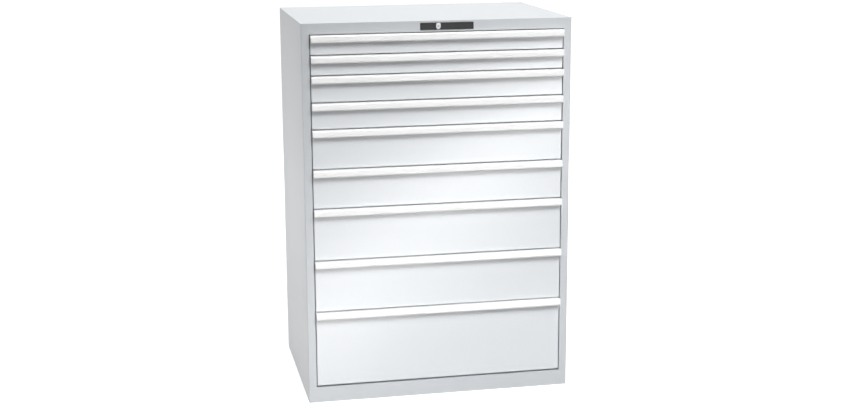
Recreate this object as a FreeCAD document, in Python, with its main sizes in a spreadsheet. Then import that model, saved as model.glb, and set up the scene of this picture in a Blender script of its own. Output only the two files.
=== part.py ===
# Drawer cabinet in folded sheet steel: nine full-width drawers on telescopic slides, with a
# central lock in the top rail that bars every drawer.
#
# Frame: +X to the right seen from the front, the drawers open towards -Y, +Z up, origin at the
# bottom centre of the whole. Sketches are drawn from the front face of the housing (y = 0, rearwards
# positive), and every placement carries them back by half the overall depth.

import FreeCAD, Part
import Sketcher
import os
import re

doc = FreeCAD.newDocument("drawer_cabinet")

# Driving dimensions, in millimetres
SIZES = {
    # Housing
    "housing_width": 1023.0,
    "housing_depth": 725.0,
    "housing_sheet": 1.5,
    "rear_sheet": 1.0,
    "corner_radius": 2.5,
    "stile_width": 30.0,
    "stile_lip": 12.0,
    "rear_flange": 20.0,
    "top_flange": 15.0,
    "top_rail_height": 40.0,
    "top_rail_shelf": 29.0,
    "shelf_lip": 8.5,
    "bottom_rail_height": 60.0,
    "bottom_rail_ledge": 15.0,
    "bottom_foot": 25.0,
    "floor_height": 40.0,
    "rear_panel_overlap": 13.5,
    # Uprights
    "upright_width": 30.0,
    "upright_sheet": 1.5,
    "front_upright_setback": 30.0,
    "rear_upright_setback": 45.0,
    "upright_head_room": 20.0,
    # Drawer fronts
    "front_height_1": 75.0,
    "front_height_2": 75.0,
    "front_height_3": 100.0,
    "front_height_4": 100.0,
    "front_height_5": 150.0,
    "front_height_6": 150.0,
    "front_height_7": 200.0,
    "front_height_8": 200.0,
    "front_height_9": 300.0,
    "front_gap": 3.0,
    "front_side_gap": 3.0,
    "front_bottom_gap": 6.0,
    "front_sheet": 1.2,
    "front_fold": 12.0,
    "front_radius": 2.5,
    # Grip bars
    "grip_height": 28.0,
    "grip_depth": 22.0,
    "grip_rake": 4.0,
    "grip_wall": 1.8,
    "grip_lip": 9.5,
    "grip_top_radius": 7.0,
    "grip_bottom_radius": 8.0,
    "grip_cap": 1.5,
    # Trays
    "tray_sheet": 1.2,
    "tray_lift": 4.0,
    "tray_head_room": 12.0,
    "tray_hem": 10.0,
    "tray_rear_space": 98.6,
    # Telescopic slides
    "slide_space": 21.3,
    "slide_height": 42.0,
    "slide_steel": 2.0,
    "slide_side_play": 0.3,
    "slide_web_play": 1.5,
    "slide_edge_gap": 4.8,
    "race_gap": 4.5,
    "race_play": 0.4,
    "race_width": 5.0,
    "race_inset": 2.0,
    "slide_front": 22.0,
    "slide_rear_gap": 20.0,
    "middle_front_play": 2.0,
    "middle_rear_gap": 61.0,
    "hook_length": 4.0,
    "hook_height": 14.0,
    "hook_thickness": 3.0,
    "hook_play": 0.5,
    # Lock
    "plate_left": 69.5,
    "plate_right": 132.5,
    "plate_height": 27.0,
    "plate_thickness": 2.5,
    "plate_radius": 1.5,
    "shield_width": 18.0,
    "shield_height": 24.0,
    "shield_point": 8.0,
    "shield_thickness": 1.5,
    "shield_radius": 3.0,
    "lock_offset": -1.5,
    "lock_rise": 19.5,
    "cylinder_radius": 5.0,
    "cylinder_play": 0.3,
    "key_slot_width": 1.4,
    "key_slot_height": 6.0,
    "key_slot_depth": 4.0,
    "cylinder_proud": 0.5,
    "cam_setback": 21.0,
    "cam_thickness": 2.0,
    "cam_radius": 9.0,
    "crank_radius": 5.3,
    "crank_pin_radius": 2.0,
    "crank_play": 0.6,
    "rod_setback": 24.0,
    "rod_thickness": 3.0,
    "rod_height": 14.0,
    "rod_play": 0.3,
    "rod_end": 12.0,
    "rod_overhang": 2.0,
    "rod_tab_rise": 16.0,
    "pin_proud": 1.5,
    "lift_pin_radius": 2.5,
    "lift_pin_drop": 9.0,
    "lift_play": 0.3,
    "lock_lift": 7.5,
    "bar_width": 12.0,
    "bar_thickness": 3.0,
    "bar_setback": 17.0,
    "bar_side_gap": 13.0,
    "bar_top_gap": 18.5,
    "bar_tail": 10.0,
    "finger_inset": 7.8,
    "finger_height": 6.0,
    "finger_thickness": 3.0,
    "finger_gap": 1.5,
    "catch_gap": 1.5,
    "catch_play": 1.5,
    "catch_reach": 16.8,
    "catch_thickness": 3.0,
    "guide_height": 20.0,
    "guide_wall": 1.5,
    "guide_play": 0.3,
}

sheet = doc.addObject("Spreadsheet::Sheet", "Sizes")
for row, (alias, number) in enumerate(SIZES.items(), start=1):
    sheet.set(f"A{row}", alias)
    sheet.set(f"B{row}", str(number))
    sheet.setAlias(f"B{row}", alias)
doc.recompute()

# Directions of view in which the sections are drawn
TOP_VIEW = "XY_Plane"
FRONT_VIEW = "XZ_Plane"
SIDE_VIEW = "YZ_Plane"

# Places worked out from the driving dimensions
DRAWERS = range(1, 10)
GUIDED = (DRAWERS[0], DRAWERS[-2])  # drawers under which a clip guides the lock bar
BACK = "(-(housing_depth - grip_depth) / 2)"
FRONTS = "(" + " + ".join(f"front_height_{number}" for number in DRAWERS) + ")"
OPENING_TOP = f"(bottom_rail_height + {FRONTS})"
HOUSING_HEIGHT = f"({OPENING_TOP} + top_rail_height)"
ROOF = f"({HOUSING_HEIGHT} - housing_sheet)"
OPENING_HALF = "(housing_width / 2 - stile_width)"
INSIDE_HALF = "(housing_width / 2 - housing_sheet)"
INSIDE_REAR = "(housing_depth - housing_sheet)"
UPRIGHT_FACE = f"({OPENING_HALF} - slide_side_play)"
REAR_UPRIGHT = "(housing_depth - rear_upright_setback)"
FRONT_HALF = f"({OPENING_HALF} - front_side_gap)"

# Corners of the raked grip face before they are rounded; its rounded foot reaches grip_depth forward
GRIP_SLOPE = "((grip_height ^ 2 + grip_rake ^ 2) ^ 0.5)"
GRIP_TOE = f"(-grip_depth - grip_bottom_radius * (({GRIP_SLOPE} + grip_rake) / grip_height - 1))"
GRIP_BROW = f"({GRIP_TOE} + grip_rake)"

TRAY_HALF = f"({OPENING_HALF} - slide_space)"
TRAY_FRONT = "front_fold"
TRAY_REAR = "(housing_depth - tray_rear_space)"
SLIDE_EDGE = f"({TRAY_HALF} + slide_edge_gap)"
MIDDLE_WEB = f"({UPRIGHT_FACE} - slide_steel - slide_web_play)"
DRAWER_RAIL_EDGE = f"({MIDDLE_WEB} - slide_steel - slide_web_play)"
LOCK_HEIGHT = f"({OPENING_TOP} + lock_rise)"
LOCK_BORE = "(cylinder_radius + cylinder_play)"
DIAGONAL = "0.70711"
CRANK_X = f"(lock_offset - crank_radius * {DIAGONAL})"
CRANK_Z = f"({LOCK_HEIGHT} + crank_radius * {DIAGONAL})"
PIN_END = "(rod_setback + rod_thickness + pin_proud)"
BAR_OUTER = f"({INSIDE_HALF} - bar_side_gap)"
BAR_INNER = f"({BAR_OUTER} - bar_width)"
BAR_MIDDLE = f"({BAR_OUTER} - bar_width / 2)"
BAR_TOP = f"({ROOF} - bar_top_gap)"
LIFT_PIN_Z = f"({BAR_TOP} - lift_pin_drop)"
ROD_BOTTOM = f"({OPENING_TOP} + housing_sheet + rod_play)"


def boundary(number):
    """Height of the joint below the front of a drawer; number 0 is the joint above the first."""
    return " - ".join([f"({OPENING_TOP} - front_gap / 2"]
                      + [f"front_height_{above}" for above in range(1, number + 1)]) + ")"


def linked(text):
    """An expression with every size name pointing at its cell."""
    return re.sub(r"[a-z]\w*", lambda found: "Sizes." + found.group(), text)


def value(text):
    return float(sheet.evalExpression(linked(text)))


def origin_plane(body, role):
    return next(item for item in body.Origin.OriginFeatures if item.Role == role)


def add_loop(sketch, points):
    """A closed outline whose corners are bound to the sheet."""
    first = len(sketch.Geometry)
    corners = [FreeCAD.Vector(value(x), value(y), 0) for x, y in points]
    count = len(corners)
    for step in range(count):
        sketch.addGeometry(Part.LineSegment(corners[step], corners[(step + 1) % count]), False)
    for step in range(count):
        joined = first + (step + 1) % count
        sketch.addConstraint(Sketcher.Constraint("Coincident", first + step, 2, joined, 1))
    for step, (x, y) in enumerate(points):
        for kind, place, text in (("DistanceX", corners[step].x, x), ("DistanceY", corners[step].y, y)):
            rule = sketch.addConstraint(Sketcher.Constraint(kind, -1, 1, first + step, 1, place))
            sketch.setExpression(f"Constraints[{rule}]", linked(text))


def new_sketch(body, name, plane, start):
    """A sketch parallel to an origin plane; start is its place along +Z, rearwards or along +X."""
    sketch = body.newObject("Sketcher::SketchObject", name + "_sketch")
    sketch.AttachmentSupport = (origin_plane(body, plane), [""])
    sketch.MapMode = "FlatFace"
    sign = "-" if plane == FRONT_VIEW else ""
    sketch.setExpression("AttachmentOffset.Base.z", linked(f"{sign}({start})"))
    return sketch


def outline(body, name, plane, loops, start):
    sketch = new_sketch(body, name, plane, start)
    for points in loops:
        add_loop(sketch, points)
    return sketch


def disc(body, name, x, z, radius, start):
    """A circle in the front view."""
    sketch = new_sketch(body, name, FRONT_VIEW, start)
    centre = FreeCAD.Vector(value(x), value(z), 0)
    circle = sketch.addGeometry(Part.Circle(centre, FreeCAD.Vector(0, 0, 1), value(radius)), False)
    rules = (
        (Sketcher.Constraint("Radius", circle, value(radius)), radius),
        (Sketcher.Constraint("DistanceX", -1, 1, circle, 3, centre.x), x),
        (Sketcher.Constraint("DistanceY", -1, 1, circle, 3, centre.y), z),
    )
    for constraint, text in rules:
        rule = sketch.addConstraint(constraint)
        sketch.setExpression(f"Constraints[{rule}]", linked(text))
    return sketch


def pad(body, name, sketch, length, plane=None, centred=False):
    feature = body.newObject("PartDesign::Pad", name)
    feature.Profile = sketch
    feature.setExpression("Length", linked(length))
    feature.Reversed = plane == FRONT_VIEW
    if centred:
        feature.SideType = "Symmetric"
    return feature


def pocket(body, name, sketch, length, plane):
    """A cut that runs up, rearwards or to the right from its sketch."""
    feature = body.newObject("PartDesign::Pocket", name)
    feature.Profile = sketch
    feature.setExpression("Length", linked(length))
    feature.Reversed = plane != FRONT_VIEW
    return feature


def round_edges(body, name, radius, wanted):
    """Rounds the edges of the body so far for which wanted(edge) is true."""
    doc.recompute()
    base = body.Tip
    names = [f"Edge{place}" for place, edge in enumerate(base.Shape.Edges, start=1) if wanted(edge)]
    feature = body.newObject("PartDesign::Fillet", name)
    feature.Base = (base, names)
    feature.setExpression("Radius", linked(radius))
    return feature


def near(number, target):
    return abs(number - target) < 1e-4


def runs_along(edge, axis):
    """Whether a straight edge is parallel to an axis, given as 0, 1 or 2."""
    box = edge.BoundBox
    spans = (box.XLength, box.YLength, box.ZLength)
    return all(span < 1e-4 for place, span in enumerate(spans) if place != axis)


def rectangle(left, low, right, high):
    return [(left, low), (right, low), (right, high), (left, high)]


def symmetric(half):
    """A closed outline from the corners of its right-hand half, given in order."""
    return half + [(f"-({x})", y) for x, y in reversed(half)]


def new_body(name, height="0"):
    body = doc.addObject("PartDesign::Body", name)
    body.Label = name
    body.setExpression("Placement.Base.y", linked(BACK))
    body.setExpression("Placement.Base.z", linked(height))
    return body


def mirrored(name, source):
    """The left-hand copy of a right-hand piece."""
    copy = doc.addObject("Part::Mirroring", name)
    copy.Label = name
    copy.Source = source
    copy.Normal = FreeCAD.Vector(1, 0, 0)
    return copy


def raised(name, source, height):
    """A copy of a piece, moved up from where it was drawn."""
    copy = doc.addObject("App::Link", name)
    copy.Label = name
    copy.LinkedObject = source
    copy.LinkTransform = True
    copy.setExpression("Placement.Base.z", linked(height))
    return copy


def group(name, members):
    together = doc.addObject("Part::Compound", name)
    together.Label = name
    together.Links = members
    return together


def slide_centre(number):
    return f"({boundary(number)} + tray_lift + slide_height / 2)"


def side_panel():
    """Side wall folded into the stile and its lip in front and into a flange behind."""
    body = new_body("side_panel_right")
    outer = "housing_width / 2"
    wall = [
        (OPENING_HALF, "0"), (outer, "0"), (outer, "housing_depth"),
        (f"{outer} - rear_flange", "housing_depth"), (f"{outer} - rear_flange", INSIDE_REAR),
        (INSIDE_HALF, INSIDE_REAR), (INSIDE_HALF, "housing_sheet"), (OPENING_HALF, "housing_sheet"),
    ]
    sketch = outline(body, "wall", TOP_VIEW, [wall], "0")
    pad(body, "wall", sketch, HOUSING_HEIGHT)
    lip = rectangle(OPENING_HALF, "housing_sheet", f"{OPENING_HALF} + housing_sheet", "stile_lip")
    pad(body, "lip", outline(body, "lip", TOP_VIEW, [lip], "0"), ROOF)

    def outside_corner(edge):
        centre = edge.BoundBox.Center
        front_or_rear = near(centre.y, 0) or near(centre.y, value("housing_depth"))
        return runs_along(edge, 2) and near(centre.x, value(outer)) and front_or_rear

    round_edges(body, "bends", "corner_radius", outside_corner)
    return body


def top_panel():
    """Roof sheet with a flange down inside each side wall."""
    body = new_body("top_panel")
    half = [
        (INSIDE_HALF, HOUSING_HEIGHT), (INSIDE_HALF, f"{ROOF} - top_flange"),
        (f"{INSIDE_HALF} - housing_sheet", f"{ROOF} - top_flange"), (f"{INSIDE_HALF} - housing_sheet", ROOF),
    ]
    sketch = outline(body, "roof", FRONT_VIEW, [symmetric(half)], "housing_sheet")
    pad(body, "roof", sketch, "housing_depth - 2 * housing_sheet", FRONT_VIEW)
    return body


def rear_panel():
    body = new_body("rear_panel")
    edge = "(housing_width / 2 - rear_flange + rear_panel_overlap)"
    sheet_face = rectangle(f"-{edge}", "floor_height", edge, ROOF)
    sketch = outline(body, "sheet", FRONT_VIEW, [sheet_face], f"{INSIDE_REAR} - rear_sheet")
    pad(body, "sheet", sketch, "rear_sheet", FRONT_VIEW)
    return body


def floor_pan():
    """Bottom rail, ledge and floor folded from one sheet, with a flange down to the ground behind."""
    body = new_body("floor_pan")
    ledge_back = "bottom_rail_ledge - housing_sheet"
    floor_under = "floor_height - housing_sheet"
    rail_inside = "bottom_rail_height - housing_sheet"
    rail = [
        ("0", "0"), ("bottom_foot", "0"), ("bottom_foot", "housing_sheet"),
        ("housing_sheet", "housing_sheet"), ("housing_sheet", rail_inside), (ledge_back, rail_inside),
        (ledge_back, floor_under), ("bottom_rail_ledge", floor_under),
        ("bottom_rail_ledge", "bottom_rail_height"), ("0", "bottom_rail_height"),
    ]
    pad(body, "rail", outline(body, "rail", SIDE_VIEW, [rail], "0"), f"2 * {OPENING_HALF}", centred=True)
    flange_front = f"{INSIDE_REAR} - housing_sheet"
    floor = [
        ("bottom_rail_ledge", floor_under), (flange_front, floor_under), (flange_front, "0"),
        (INSIDE_REAR, "0"), (INSIDE_REAR, "floor_height"), ("bottom_rail_ledge", "floor_height"),
    ]
    pad(body, "floor", outline(body, "floor", SIDE_VIEW, [floor], "0"), f"2 * {INSIDE_HALF}", centred=True)
    return body


def top_rail():
    """Front rail over the drawers; its folded shelf carries the lock rod."""
    body = new_body("top_rail")
    shelf_top = f"{OPENING_TOP} + housing_sheet"
    lip_front = "top_rail_shelf - housing_sheet"
    lip_top = f"{OPENING_TOP} + shelf_lip"
    section = [
        ("0", OPENING_TOP), ("top_rail_shelf", OPENING_TOP), ("top_rail_shelf", lip_top),
        (lip_front, lip_top), (lip_front, shelf_top), ("housing_sheet", shelf_top),
        ("housing_sheet", HOUSING_HEIGHT), ("0", HOUSING_HEIGHT),
    ]
    sketch = outline(body, "rail", SIDE_VIEW, [section], "0")
    pad(body, "rail", sketch, f"2 * {OPENING_HALF}", centred=True)
    hole = disc(body, "lock_hole", "lock_offset", LOCK_HEIGHT, LOCK_BORE, "0")
    pocket(body, "lock_hole", hole, "housing_sheet", FRONT_VIEW)
    return body


def upright(name, setback, with_guides=False):
    """Channel welded to the side wall, slotted for the hooks of the slides."""
    body = new_body(name)
    back = f"{setback} + upright_width"
    web = f"{UPRIGHT_FACE} + upright_sheet"
    section = [
        (UPRIGHT_FACE, setback), (INSIDE_HALF, setback), (INSIDE_HALF, f"{setback} + upright_sheet"),
        (web, f"{setback} + upright_sheet"), (web, f"{back} - upright_sheet"),
        (INSIDE_HALF, f"{back} - upright_sheet"), (INSIDE_HALF, back), (UPRIGHT_FACE, back),
    ]
    sketch = outline(body, "channel", TOP_VIEW, [section], "floor_height")
    pad(body, "channel", sketch, f"{HOUSING_HEIGHT} - floor_height - upright_head_room")
    if with_guides:
        for number in GUIDED:
            foot = f"{boundary(number)} - guide_height / 2"
            guide = outline(body, f"guide_{number}", TOP_VIEW, [bar_guide(setback)], foot)
            pad(body, f"guide_{number}", guide, "guide_height")
    middle = f"{setback} + upright_width / 2"
    half_width = "(hook_thickness / 2 + hook_play)"
    half_height = "(hook_height / 2 + hook_play)"
    slots = [
        rectangle(f"{middle} - {half_width}", f"{slide_centre(number)} - {half_height}",
                  f"{middle} + {half_width}", f"{slide_centre(number)} + {half_height}")
        for number in DRAWERS
    ]
    cuts = outline(body, "slots", SIDE_VIEW, slots, UPRIGHT_FACE)
    pocket(body, "slots", cuts, "upright_sheet", SIDE_VIEW)
    return body


def bar_guide(rear):
    """Plan of the clip that holds the lock bar in front of an upright, open in front."""
    left = f"{BAR_INNER} - guide_play"
    right = f"{BAR_OUTER} + guide_play"
    front = "bar_setback - guide_play"
    back = "bar_setback + bar_thickness + guide_play"
    mouth = "bar_width / 4"
    return [
        (f"{left} - guide_wall", rear), (f"{left} - guide_wall", f"{front} - guide_wall"),
        (f"{left} + {mouth}", f"{front} - guide_wall"), (f"{left} + {mouth}", front), (left, front),
        (left, back), (right, back), (right, front), (f"{right} - {mouth}", front),
        (f"{right} - {mouth}", f"{front} - guide_wall"), (f"{right} + guide_wall", f"{front} - guide_wall"),
        (f"{right} + guide_wall", rear),
    ]


def cabinet_rail():
    """Outer member of a slide, open towards the drawer, with two hooks for the uprights."""
    body = new_body("cabinet_rail")
    web = f"{UPRIGHT_FACE} - slide_steel"
    half = "slide_height / 2"
    inner = f"{half} - slide_steel"
    section = [
        (UPRIGHT_FACE, half), (SLIDE_EDGE, half), (SLIDE_EDGE, inner), (web, inner),
        (web, f"-({inner})"), (SLIDE_EDGE, f"-({inner})"), (SLIDE_EDGE, f"-{half}"),
        (UPRIGHT_FACE, f"-{half}"),
    ]
    sketch = outline(body, "channel", FRONT_VIEW, [section], "slide_front")
    pad(body, "channel", sketch, "housing_depth - slide_rear_gap - slide_front", FRONT_VIEW)
    hooks = [
        rectangle(UPRIGHT_FACE, f"{setback} + upright_width / 2 - hook_thickness / 2",
                  f"{UPRIGHT_FACE} + hook_length", f"{setback} + upright_width / 2 + hook_thickness / 2")
        for setback in ("front_upright_setback", REAR_UPRIGHT)
    ]
    pad(body, "hooks", outline(body, "hooks", TOP_VIEW, hooks, "-hook_height / 2"), "hook_height")
    return body


def middle_member():
    """Middle member of a slide, with a race for the rows of balls above and below each flange."""
    body = new_body("middle_member")
    web = f"{MIDDLE_WEB} - slide_steel"
    outer = "(slide_height / 2 - slide_steel - race_gap)"
    inner = f"({outer} - slide_steel)"
    outer_race = f"({outer} + race_gap - race_play)"
    inner_race = f"({inner} - race_gap + race_play)"
    race_left = f"({SLIDE_EDGE} + race_inset)"
    race_right = f"({race_left} + race_width)"
    upper = [
        (MIDDLE_WEB, outer), (race_right, outer), (race_right, outer_race), (race_left, outer_race),
        (race_left, outer), (SLIDE_EDGE, outer), (SLIDE_EDGE, inner), (race_left, inner),
        (race_left, inner_race), (race_right, inner_race), (race_right, inner), (web, inner),
    ]
    section = upper + [(x, f"-{z}") for x, z in reversed(upper)]
    start = "(slide_front + middle_front_play)"
    sketch = outline(body, "channel", FRONT_VIEW, [section], start)
    pad(body, "channel", sketch, f"housing_depth - middle_rear_gap - {start}", FRONT_VIEW)
    return body


def drawer_rail():
    """Inner member of a slide, riveted to the wall of the tray."""
    body = new_body("drawer_rail")
    half = "(slide_height / 2 - 2 * slide_steel - 2 * race_gap)"
    inner = f"({half} - slide_steel)"
    web = f"{TRAY_HALF} + slide_steel"
    section = [
        (TRAY_HALF, f"-{half}"), (DRAWER_RAIL_EDGE, f"-{half}"), (DRAWER_RAIL_EDGE, f"-{inner}"),
        (web, f"-{inner}"), (web, inner), (DRAWER_RAIL_EDGE, inner), (DRAWER_RAIL_EDGE, half),
        (TRAY_HALF, half),
    ]
    start = "(slide_front + middle_front_play)"
    sketch = outline(body, "channel", FRONT_VIEW, [section], start)
    pad(body, "channel", sketch, f"{TRAY_REAR} - {start}", FRONT_VIEW)
    return body


def lock_catch():
    """Lug on the right wall of the tray that a finger of the lock bar stops."""
    body = new_body("lock_catch")
    foot = "slide_height / 2 + finger_gap + finger_height + catch_gap"
    lug = rectangle(TRAY_HALF, foot, f"{TRAY_HALF} + catch_reach", f"{foot} + finger_height")
    sketch = outline(body, "lug", FRONT_VIEW, [lug], "bar_setback + catch_play")
    pad(body, "lug", sketch, "catch_thickness", FRONT_VIEW)
    return body


def drawer_tray(number):
    """Folded tray with hemmed side walls."""
    body = new_body(f"drawer_tray_{number}", f"{boundary(number)} + tray_lift")
    top = f"(front_height_{number} - tray_lift - tray_head_room)"
    inside = f"{TRAY_HALF} - tray_sheet"
    half = [
        (TRAY_HALF, "0"), (TRAY_HALF, top), (f"{inside} - tray_sheet", top),
        (f"{inside} - tray_sheet", f"{top} - tray_hem"), (inside, f"{top} - tray_hem"),
        (inside, "tray_sheet"),
    ]
    sketch = outline(body, "walls", FRONT_VIEW, [symmetric(half)], TRAY_FRONT)
    pad(body, "walls", sketch, f"{TRAY_REAR} - {TRAY_FRONT}", FRONT_VIEW)
    end_wall = rectangle(f"-{TRAY_HALF}", "0", TRAY_HALF, top)
    for name, start in (("front_wall", TRAY_FRONT), ("rear_wall", f"{TRAY_REAR} - tray_sheet")):
        pad(body, name, outline(body, name, FRONT_VIEW, [end_wall], start), "tray_sheet", FRONT_VIEW)
    return body


def drawer_front(number):
    """Front sheet folded back on all four sides."""
    foot = f"({boundary(number)} + front_gap / 2)"
    if number == DRAWERS[-1]:
        foot = "(bottom_rail_height + front_bottom_gap)"
    height = f"({front_top(number)} - {foot})"
    body = new_body(f"drawer_front_{number}", foot)
    face = rectangle(f"-{FRONT_HALF}", "0", FRONT_HALF, height)
    pad(body, "panel", outline(body, "panel", FRONT_VIEW, [face], "0"), "front_fold", FRONT_VIEW)
    round_edges(body, "bends", "front_radius", lambda edge: near(edge.BoundBox.Center.y, 0))
    inset = f"{FRONT_HALF} - front_sheet"
    hollow = rectangle(f"-({inset})", "front_sheet", inset, f"{height} - front_sheet")
    sketch = outline(body, "hollow", FRONT_VIEW, [hollow], "front_sheet")
    pocket(body, "hollow", sketch, "front_fold", FRONT_VIEW)
    return body


def front_top(number):
    return f"({boundary(number - 1)} - front_gap / 2)"


def grip_strip():
    """Extruded grip: a web on the front, a top, a face raked to be read from above and a lip turned back."""
    body = new_body("grip_strip")
    inner_top = f"{GRIP_TOE} + grip_wall + grip_rake * (1 - grip_wall / grip_height)"
    inner_low = f"{GRIP_TOE} + grip_wall + grip_rake * grip_wall / grip_height"
    inner_foot = "-grip_height + grip_wall"
    lip_end = f"{GRIP_TOE} + grip_lip"
    section = [
        ("0", "0"), ("0", "-grip_height"), ("-grip_wall", "-grip_height"), ("-grip_wall", "-grip_wall"),
        (inner_top, "-grip_wall"), (inner_low, inner_foot), (lip_end, inner_foot),
        (lip_end, "-grip_height"), (GRIP_TOE, "-grip_height"), (GRIP_BROW, "0"),
    ]
    sketch = outline(body, "section", SIDE_VIEW, [section], "0")
    pad(body, "section", sketch, f"2 * ({FRONT_HALF} - grip_cap)", centred=True)
    round_edges(body, "top_bend", "grip_top_radius", along_grip(GRIP_BROW, "0"))
    round_edges(body, "top_hollow", "grip_top_radius - grip_wall", along_grip(inner_top, "-grip_wall"))
    round_edges(body, "foot_bend", "grip_bottom_radius", along_grip(GRIP_TOE, "-grip_height"))
    round_edges(body, "foot_hollow", "grip_bottom_radius - grip_wall", along_grip(inner_low, inner_foot))
    return body


def along_grip(y, z):
    """Picks the edge that runs along the grip at a corner of its section."""
    def wanted(edge):
        centre = edge.BoundBox.Center
        return runs_along(edge, 0) and near(centre.y, value(y)) and near(centre.z, value(z))
    return wanted


def grip_end():
    """Cap that closes the end of the grip and follows its rounded face."""
    body = new_body("grip_end")
    face = [(GRIP_TOE, "-grip_height"), ("0", "-grip_height"), ("0", "0"), (GRIP_BROW, "0")]
    sketch = outline(body, "face", SIDE_VIEW, [face], f"{FRONT_HALF} - grip_cap")
    pad(body, "face", sketch, "grip_cap")
    round_edges(body, "top_bend", "grip_top_radius", along_grip(GRIP_BROW, "0"))
    round_edges(body, "foot_bend", "grip_bottom_radius", along_grip(GRIP_TOE, "-grip_height"))
    return body


def lock_plate():
    body = new_body("lock_plate")
    face = rectangle("-plate_left", f"{LOCK_HEIGHT} - plate_height / 2",
                     "plate_right", f"{LOCK_HEIGHT} + plate_height / 2")
    sketch = outline(body, "face", FRONT_VIEW, [face], "-plate_thickness")
    pad(body, "face", sketch, "plate_thickness", FRONT_VIEW)
    round_edges(body, "corners", "plate_radius", lambda edge: runs_along(edge, 1))
    hole = disc(body, "bore", "lock_offset", LOCK_HEIGHT, LOCK_BORE, "-plate_thickness")
    pocket(body, "bore", hole, "plate_thickness", FRONT_VIEW)
    return body


def lock_shield():
    """Shield-shaped surround of the cylinder, straight above and pointed below."""
    body = new_body("lock_shield")
    left = "lock_offset - shield_width / 2"
    right = "lock_offset + shield_width / 2"
    top = f"{LOCK_HEIGHT} + shield_height / 2"
    shoulder = f"{LOCK_HEIGHT} - shield_height / 2 + shield_point"
    tip = f"{LOCK_HEIGHT} - shield_height / 2"
    shape = [(left, top), (left, shoulder), ("lock_offset", tip), (right, shoulder), (right, top)]
    start = "-plate_thickness - shield_thickness"
    pad(body, "shape", outline(body, "shape", FRONT_VIEW, [shape], start), "shield_thickness", FRONT_VIEW)
    round_edges(body, "corners", "shield_radius", lambda edge: runs_along(edge, 1))
    hole = disc(body, "bore", "lock_offset", LOCK_HEIGHT, LOCK_BORE, start)
    pocket(body, "bore", hole, "shield_thickness", FRONT_VIEW)
    return body


def lock_cylinder():
    """Turning cylinder with its key slot, upright while the drawers are free."""
    body = new_body("lock_cylinder")
    start = "-plate_thickness - shield_thickness - cylinder_proud"
    barrel = disc(body, "barrel", "lock_offset", LOCK_HEIGHT, "cylinder_radius", start)
    pad(body, "barrel", barrel, f"cam_setback - ({start})", FRONT_VIEW)
    slot = rectangle("lock_offset - key_slot_width / 2", f"{LOCK_HEIGHT} - key_slot_height / 2",
                     "lock_offset + key_slot_width / 2", f"{LOCK_HEIGHT} + key_slot_height / 2")
    pocket(body, "key_slot", outline(body, "key_slot", FRONT_VIEW, [slot], start), "key_slot_depth", FRONT_VIEW)
    return body


def lock_cam():
    """Disc on the back of the cylinder with the crank pin that drives the lock rod."""
    body = new_body("lock_cam")
    plate = disc(body, "plate", "lock_offset", LOCK_HEIGHT, "cam_radius", "cam_setback")
    pad(body, "plate", plate, "cam_thickness", FRONT_VIEW)
    start = "(cam_setback + cam_thickness)"
    pin = disc(body, "pin", CRANK_X, CRANK_Z, "crank_pin_radius", start)
    pad(body, "pin", pin, f"{PIN_END} - {start}", FRONT_VIEW)
    return body


def lock_rod():
    """Flat rod behind the top rail: an upright slot for the crank pin and, over the lock bar,
    a slot at 45 degrees that lifts it."""
    body = new_body("lock_rod")
    left = f"({CRANK_X} - rod_end)"
    left_tab = f"({CRANK_X} + rod_end)"
    right = f"({BAR_OUTER} + rod_overhang)"
    right_tab = f"({BAR_INNER} - rod_end)"
    bar_top = f"({ROD_BOTTOM} + rod_height)"
    tab_top = f"({bar_top} + rod_tab_rise)"
    plate = [
        (left, ROD_BOTTOM), (right, ROD_BOTTOM), (right, tab_top), (right_tab, tab_top),
        (right_tab, bar_top), (left_tab, bar_top), (left_tab, tab_top), (left, tab_top),
    ]
    pad(body, "plate", outline(body, "plate", FRONT_VIEW, [plate], "rod_setback"), "rod_thickness", FRONT_VIEW)
    reach = "(crank_pin_radius + crank_play)"
    upright_slot = rectangle(f"{CRANK_X} - {reach}", f"{CRANK_Z} - {reach}",
                             f"{CRANK_X} + {reach}", f"{LOCK_HEIGHT} + crank_radius + {reach}")
    wide = f"({DIAGONAL} * (lift_pin_radius + lift_play))"
    low_x, low_z = BAR_MIDDLE, LIFT_PIN_Z
    high_x, high_z = f"{BAR_MIDDLE} - lock_lift", f"{LIFT_PIN_Z} + lock_lift"
    sloping_slot = [
        (f"{low_x} + 2 * {wide}", low_z), (low_x, f"{low_z} - 2 * {wide}"),
        (f"{high_x} - 2 * {wide}", high_z), (high_x, f"{high_z} + 2 * {wide}"),
    ]
    slots = outline(body, "slots", FRONT_VIEW, [upright_slot, sloping_slot], "rod_setback")
    pocket(body, "slots", slots, "rod_thickness", FRONT_VIEW)
    return body


def bar_strip():
    """Upright lock bar with the pin that rides in the sloping slot."""
    body = new_body("bar_strip")
    foot = f"{finger_foot(DRAWERS[-1])} - bar_tail"
    strip = rectangle(BAR_INNER, foot, BAR_OUTER, BAR_TOP)
    pad(body, "strip", outline(body, "strip", FRONT_VIEW, [strip], "bar_setback"), "bar_thickness", FRONT_VIEW)
    start = "(bar_setback + bar_thickness)"
    pin = disc(body, "pin", BAR_MIDDLE, LIFT_PIN_Z, "lift_pin_radius", start)
    pad(body, "pin", pin, f"{PIN_END} - {start}", FRONT_VIEW)
    return body


def finger_foot(number):
    """Underside of a finger while the drawers are free."""
    return f"({slide_centre(number)} + slide_height / 2 + finger_gap)"


def bar_finger():
    body = new_body("bar_finger")
    plate = rectangle(f"{TRAY_HALF} + finger_inset", "0", BAR_OUTER, "finger_height")
    sketch = outline(body, "plate", FRONT_VIEW, [plate], "bar_setback - finger_thickness")
    pad(body, "plate", sketch, "finger_thickness", FRONT_VIEW)
    return body


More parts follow.
